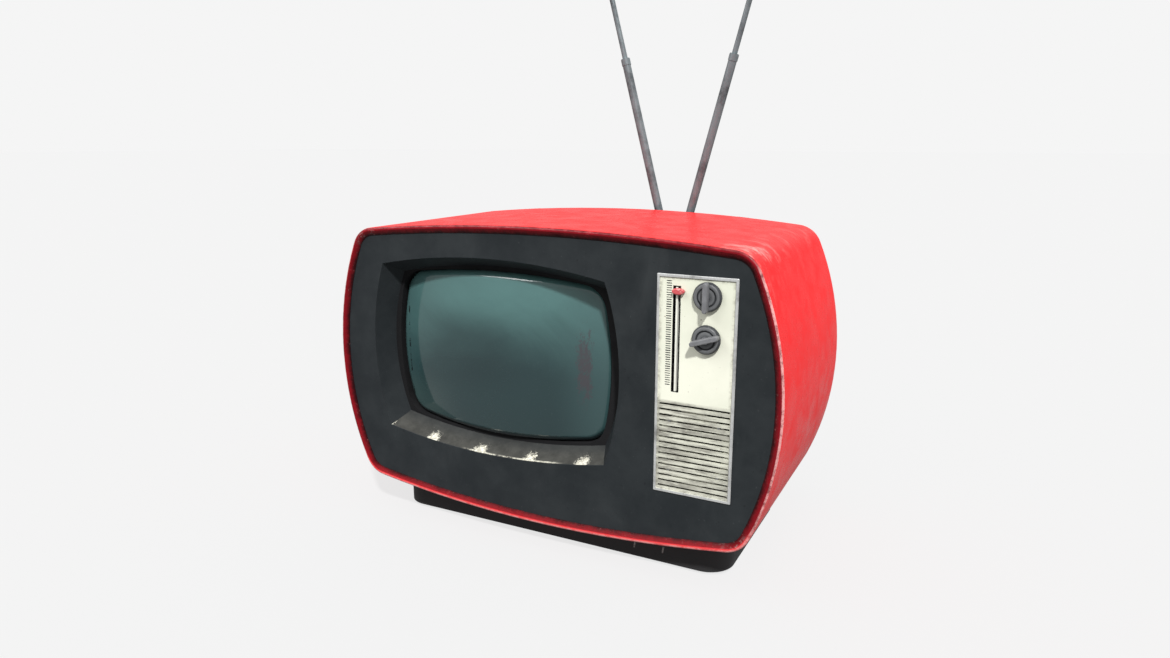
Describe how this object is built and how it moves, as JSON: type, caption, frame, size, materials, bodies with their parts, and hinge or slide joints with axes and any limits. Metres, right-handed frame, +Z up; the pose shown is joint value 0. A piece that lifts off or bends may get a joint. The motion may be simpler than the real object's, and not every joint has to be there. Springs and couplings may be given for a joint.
{
  "type": "tube television",
  "caption": "Portable tube television with a bulging screen, side control panel, slatted speaker grille, plinth and folding telescopic antenna.",
  "frame": {"origin": "middle of the bounding box at floor level, under the rubber feet", "axes": "+Z up, the screen faces -Y, +X is to the right of a viewer who faces the screen"},
  "size_m": [0.44, 0.311, 0.7156],
  "materials": {
    "red_paint": "glossy red, worn pale along the front rim",
    "black_plastic": "satin moulded black",
    "screw_steel": "zinc plated",
    "rubber": "matte",
    "charcoal_plastic": "matte charcoal, lightly mottled",
    "spring_steel": "satin",
    "black_rubber": "matte",
    "screen_glass": "teal grey phosphor behind smooth glass",
    "funnel_glass": "graphite coated",
    "neck_glass": "clear",
    "band_steel": "satin",
    "copper_winding": "enamelled copper wire",
    "ferrite": "matte ferrite",
    "board_laminate": "brown laminate",
    "red_rubber": "matte",
    "cream_plastic": "satin cream, speckled with dirt",
    "trim_metal": "brushed and dulled",
    "white_plastic": "satin",
    "zinc_steel": "zinc plated",
    "spindle_steel": "turned",
    "knob_plastic": "satin dark grey",
    "dial_cord": "waxed cord",
    "pointer_red": "semi gloss",
    "speaker_paper": "felted paper",
    "transformer_iron": "varnished laminations",
    "can_aluminium": "sleeved can",
    "sink_aluminium": "mill finish",
    "cover_plastic": "textured black",
    "terminal_board": "brown laminate",
    "terminal_brass": "nickel worn to brass",
    "antenna_metal": "dulled chrome"
  },
  "bodies": {
    "cabinet": {"cabinet_shell": "red_paint", "base_plinth": "black_plastic", "plinth_screws": "screw_steel", "rubber_feet": "rubber", "front_bezel": "charcoal_plastic", "bezel_clips": "spring_steel", "screen_gasket": "black_rubber", "tube_face": "screen_glass", "tube_funnel": "funnel_glass", "tube_neck": "neck_glass", "rim_band": "band_steel", "tube_screws": "screw_steel", "deflection_yoke": "copper_winding", "yoke_core": "ferrite", "socket_board": "board_laminate", "anode_cap": "red_rubber", "control_panel": "cream_plastic", "panel_trim": "trim_metal", "dial_rail": "white_plastic", "control_bracket": "zinc_steel", "volume_pot": "zinc_steel", "tuner_box": "zinc_steel", "idler_pins": "spindle_steel", "dial_cord": "dial_cord", "speaker_frame": "zinc_steel", "speaker_cone": "speaker_paper", "speaker_magnet": "ferrite", "speaker_screws": "screw_steel", "chassis_rails": "zinc_steel", "circuit_board": "board_laminate", "board_screws": "screw_steel", "line_transformer": "black_plastic", "mains_transformer": "transformer_iron", "capacitors": "can_aluminium", "heat_sink": "sink_aluminium", "rear_cover": "cover_plastic", "cover_screws": "screw_steel", "mains_inlet": "black_plastic", "aerial_terminals": "terminal_board", "terminal_screws": "terminal_brass", "rear_pots": "zinc_steel", "antenna_base": "black_plastic", "antenna_pins": "spindle_steel"},
    "volume_control": {"volume_knob": "knob_plastic", "volume_shaft": "spindle_steel"},
    "tuning_control": {"tuning_knob": "knob_plastic", "tuning_shaft": "spindle_steel", "tuning_drum": "white_plastic"},
    "pointer": {"dial_pointer": "pointer_red"},
    "upper_pulley": {"upper_idler": "white_plastic"},
    "lower_pulley": {"lower_idler": "white_plastic"},
    "brightness_control": {"brightness_knob": "knob_plastic"},
    "contrast_control": {"contrast_knob": "knob_plastic"},
    "hold_control": {"hold_knob": "knob_plastic"},
    "left_antenna": {"left_mast": "antenna_metal"},
    "left_antenna_middle": {"left_middle_rod": "antenna_metal"},
    "left_antenna_tip": {"left_tip_rod": "antenna_metal"},
    "right_antenna": {"right_mast": "antenna_metal"},
    "right_antenna_middle": {"right_middle_rod": "antenna_metal"},
    "right_antenna_tip": {"right_tip_rod": "antenna_metal"}
  },
  "joints": [
    {"name": "volume_turn", "type": "hinge", "parent": "cabinet", "child": "volume_control", "pos_m": [0.156, -0.1485, 0.2487], "axis": [0, 1, 0], "range_deg": [-150, 150]},
    {"name": "tuning_turn", "type": "hinge", "parent": "cabinet", "child": "tuning_control", "pos_m": [0.156, -0.1485, 0.2148], "axis": [0, 1, 0], "range_deg": [-450, 0]},
    {"name": "pointer_slide", "type": "slide", "parent": "cabinet", "child": "pointer", "axis": [0, 0, 1], "range_m": [-0.079, 0]},
    {"name": "upper_pulley_turn", "type": "hinge", "parent": "cabinet", "child": "upper_pulley", "pos_m": [0.1353, -0.126, 0.264], "axis": [0, 1, 0], "range_deg": [-905, 5]},
    {"name": "lower_pulley_turn", "type": "hinge", "parent": "cabinet", "child": "lower_pulley", "pos_m": [0.1353, -0.126, 0.162], "axis": [0, 1, 0], "range_deg": [-905, 5]},
    {"name": "brightness_turn", "type": "hinge", "parent": "cabinet", "child": "brightness_control", "pos_m": [0.112, 0.1215, 0.155], "axis": [0, -1, 0], "range_deg": [-140, 140]},
    {"name": "contrast_turn", "type": "hinge", "parent": "cabinet", "child": "contrast_control", "pos_m": [0.112, 0.1215, 0.133], "axis": [0, -1, 0], "range_deg": [-140, 140]},
    {"name": "hold_turn", "type": "hinge", "parent": "cabinet", "child": "hold_control", "pos_m": [0.112, 0.1215, 0.111], "axis": [0, -1, 0], "range_deg": [-140, 140]},
    {"name": "left_antenna_swing", "type": "hinge", "parent": "cabinet", "child": "left_antenna", "pos_m": [0.0262, 0.0775, 0.287], "axis": [0, 1, 0], "range_deg": [-50, 14.8]},
    {"name": "left_middle_slide", "type": "slide", "parent": "left_antenna", "child": "left_antenna_middle", "axis": [-0.2554, 0, 0.9668], "range_m": [-0.138, 0]},
    {"name": "left_tip_slide", "type": "slide", "parent": "left_antenna_middle", "child": "left_antenna_tip", "axis": [-0.2554, 0, 0.9668], "range_m": [-0.12, 0]},
    {"name": "right_antenna_swing", "type": "hinge", "parent": "cabinet", "child": "right_antenna", "pos_m": [0.0578, 0.0775, 0.287], "axis": [0, 1, 0], "range_deg": [-14.8, 50]},
    {"name": "right_middle_slide", "type": "slide", "parent": "right_antenna", "child": "right_antenna_middle", "axis": [0.2554, 0, 0.9668], "range_m": [-0.138, 0]},
    {"name": "right_tip_slide", "type": "slide", "parent": "right_antenna_middle", "child": "right_antenna_tip", "axis": [0.2554, 0, 0.9668], "range_m": [-0.12, 0]}
  ],
  "couplings": [
    {"joint": "pointer_slide", "follows": "tuning_turn", "m_per_rad": 0.01},
    {"joint": "upper_pulley_turn", "follows": "tuning_turn", "ratio": 2},
    {"joint": "lower_pulley_turn", "follows": "tuning_turn", "ratio": 2}
  ]
}
